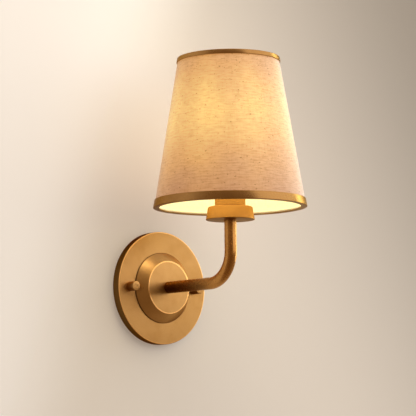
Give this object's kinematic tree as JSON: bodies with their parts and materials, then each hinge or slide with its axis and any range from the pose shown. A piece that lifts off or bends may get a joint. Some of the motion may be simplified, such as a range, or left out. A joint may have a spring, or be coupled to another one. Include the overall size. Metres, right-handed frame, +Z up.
{
  "type": "fabric shade wall light",
  "caption": "Wall light with a tapered linen shade, round brass wall plate, bent tube arm, cup, sleeved lamp socket and globe bulb.",
  "frame": {"origin": "centre of the round wall plate, on the wall's surface", "axes": "+Z up, +X along the wall to the right, +Y into the wall; the light stands out from the wall towards -Y"},
  "size_m": [0.1594, 0.1982, 0.2931],
  "materials": {
    "aged_brass": "satin",
    "trim_brass": "satin",
    "raw_brass": "satin",
    "plated_steel": "satin",
    "green_screw": "satin",
    "socket_plastic": "matte",
    "socket_ceramic": "matte",
    "live_insulation": "matte",
    "neutral_insulation": "matte",
    "frame_wire": "satin",
    "liner_sheet": "matte",
    "linen": "matte",
    "solder": "satin",
    "black_glass": "gloss",
    "nickel_cap": "satin",
    "clear_glass": "gloss",
    "stem_glass": "gloss",
    "filament": "satin"
  },
  "bodies": {
    "wall_mount": {"mounting_plate": "plated_steel", "threaded_studs": "plated_steel", "stud_lock_nuts": "plated_steel", "ground_screw": "green_screw"},
    "fixture": {"backplate": "aged_brass", "boss": "aged_brass", "arm_tube": "aged_brass", "rear_nipple": "plated_steel", "rear_washer": "plated_steel", "rear_hex_nut": "plated_steel", "riser_nipple": "plated_steel", "cup": "aged_brass", "cup_lock_nut": "plated_steel", "socket_sleeve": "aged_brass", "socket_base": "socket_plastic", "socket_skirt": "socket_plastic", "terminal_block": "socket_ceramic", "terminal_screws": "raw_brass", "screw_shell": "raw_brass", "centre_contact": "raw_brass", "live_lead": "live_insulation", "neutral_lead": "neutral_insulation"},
    "left_nut": {"left_thumb_nut": "aged_brass"},
    "right_nut": {"right_thumb_nut": "aged_brass"},
    "shade": {"shade_frame": "frame_wire", "bottom_wire_ring": "frame_wire", "shade_liner": "liner_sheet", "shade_fabric": "linen", "top_trim_band": "trim_brass", "bottom_trim_band": "trim_brass"},
    "shade_ring": {"shade_retaining_ring": "socket_plastic"},
    "bulb_tip": {"bulb_contact": "solder", "bulb_insulator": "black_glass"},
    "bulb": {"bulb_cap": "nickel_cap", "bulb_glass": "clear_glass", "bulb_stem": "stem_glass", "bulb_filaments": "filament"}
  },
  "joints": [
    {"name": "fixture_slide", "type": "slide", "parent": "wall_mount", "child": "fixture", "axis": [0, -1, 0], "range_m": [0, 0.00635]},
    {"name": "left_nut_turn", "type": "hinge", "parent": "fixture", "child": "left_nut", "pos_m": [-0.04445, -0.0089, 0], "axis": [0, -1, 0], "range_deg": [0, 2880]},
    {"name": "right_nut_turn", "type": "hinge", "parent": "fixture", "child": "right_nut", "pos_m": [0.04445, -0.0089, 0], "axis": [0, -1, 0], "range_deg": [0, 2880]},
    {"name": "shade_turn", "type": "hinge", "parent": "fixture", "child": "shade", "pos_m": [0, -0.1185, 0.0764], "axis": [0, 0, 1], "continuous": true},
    {"name": "ring_turn", "type": "hinge", "parent": "fixture", "child": "shade_ring", "pos_m": [0, -0.1185, 0.115], "axis": [0, 0, 1], "range_deg": [0, 1080]},
    {"name": "bulb_travel", "type": "slide", "parent": "fixture", "child": "bulb_tip", "axis": [0, 0, 1], "range_m": [0, 0.0127]},
    {"name": "bulb_turn", "type": "hinge", "parent": "bulb_tip", "child": "bulb", "pos_m": [0, -0.1185, 0.105], "axis": [0, 0, 1], "range_deg": [0, 1620]}
  ],
  "couplings": [
    {"joint": "left_nut_turn", "follows": "fixture_slide", "rad_per_m": 7915.8},
    {"joint": "right_nut_turn", "follows": "fixture_slide", "rad_per_m": 7915.8},
    {"joint": "bulb_travel", "follows": "bulb_turn", "m_per_rad": 0.00044914}
  ]
}
